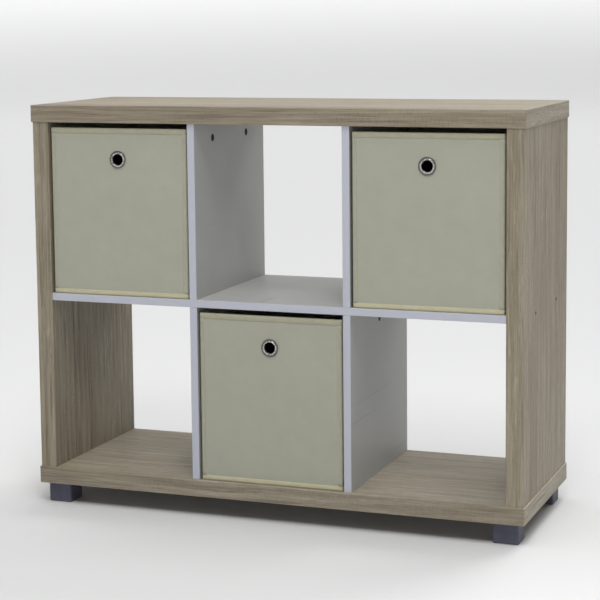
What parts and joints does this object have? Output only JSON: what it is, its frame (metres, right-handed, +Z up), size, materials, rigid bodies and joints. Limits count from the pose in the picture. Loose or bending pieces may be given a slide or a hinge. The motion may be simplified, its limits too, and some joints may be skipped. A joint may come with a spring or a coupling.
{
  "type": "cube storage unit",
  "caption": "Low open-backed cube storage unit in oak and white boards on block feet, with pull-out fabric boxes that have eyelet finger holes.",
  "frame": {"origin": "on the floor, under the middle of the unit", "axes": "+X to the right along the width, +Y towards the rear, +Z up"},
  "size_m": [1.01, 0.366, 0.81],
  "materials": {
    "oak_board": "satin oak-effect foil",
    "white_board": "satin white melamine",
    "foot": "satin dark blue-grey",
    "dark_screw": "dark zinc plated",
    "zinc_cam": "die-cast zinc",
    "box_cloth": "matt non-woven",
    "box_binding": "matt folded tape",
    "stiffener": "plain grey board",
    "chrome_eyelet": "polished"
  },
  "bodies": {
    "carcass": {"top_panel": "oak_board", "bottom_panel": "oak_board", "left_side_panel": "oak_board", "right_side_panel": "oak_board", "middle_shelf": "white_board", "upper_left_divider": "white_board", "upper_right_divider": "white_board", "lower_left_divider": "white_board", "lower_right_divider": "white_board", "front_left_foot": "foot", "front_right_foot": "foot", "rear_left_foot": "foot", "rear_right_foot": "foot", "front_left_foot_screw": "dark_screw", "front_right_foot_screw": "dark_screw", "rear_left_foot_screw": "dark_screw", "rear_right_foot_screw": "dark_screw", "left_shelf_front_screw": "dark_screw", "left_shelf_rear_screw": "dark_screw", "right_shelf_front_screw": "dark_screw", "right_shelf_rear_screw": "dark_screw", "left_side_front_cam": "zinc_cam", "left_side_rear_cam": "zinc_cam", "right_side_front_cam": "zinc_cam", "right_side_rear_cam": "zinc_cam", "upper_left_divider_front_cam": "zinc_cam", "upper_left_divider_rear_cam": "zinc_cam", "upper_right_divider_front_cam": "zinc_cam", "upper_right_divider_rear_cam": "zinc_cam", "lower_left_divider_cam": "zinc_cam", "lower_right_divider_cam": "zinc_cam"},
    "upper_left_box": {"upper_left_box_cover": "box_cloth", "upper_left_box_lining": "box_cloth", "upper_left_box_front_board": "stiffener", "upper_left_box_back_board": "stiffener", "upper_left_box_left_board": "stiffener", "upper_left_box_right_board": "stiffener", "upper_left_box_base_board": "box_cloth", "upper_left_box_rim_binding": "box_binding", "upper_left_box_eyelet": "chrome_eyelet"},
    "upper_right_box": {"upper_right_box_cover": "box_cloth", "upper_right_box_lining": "box_cloth", "upper_right_box_front_board": "stiffener", "upper_right_box_back_board": "stiffener", "upper_right_box_left_board": "stiffener", "upper_right_box_right_board": "stiffener", "upper_right_box_base_board": "box_cloth", "upper_right_box_rim_binding": "box_binding", "upper_right_box_eyelet": "chrome_eyelet"},
    "lower_middle_box": {"lower_middle_box_cover": "box_cloth", "lower_middle_box_lining": "box_cloth", "lower_middle_box_front_board": "stiffener", "lower_middle_box_back_board": "stiffener", "lower_middle_box_left_board": "stiffener", "lower_middle_box_right_board": "stiffener", "lower_middle_box_base_board": "box_cloth", "lower_middle_box_rim_binding": "box_binding", "lower_middle_box_eyelet": "chrome_eyelet"}
  },
  "joints": [
    {"name": "upper_left_box_slide", "type": "slide", "parent": "carcass", "child": "upper_left_box", "axis": [0, -1, 0], "range_m": [0, 0.36]},
    {"name": "upper_right_box_slide", "type": "slide", "parent": "carcass", "child": "upper_right_box", "axis": [0, -1, 0], "range_m": [0, 0.36]},
    {"name": "lower_middle_box_slide", "type": "slide", "parent": "carcass", "child": "lower_middle_box", "axis": [0, -1, 0], "range_m": [0, 0.36]}
  ]
}
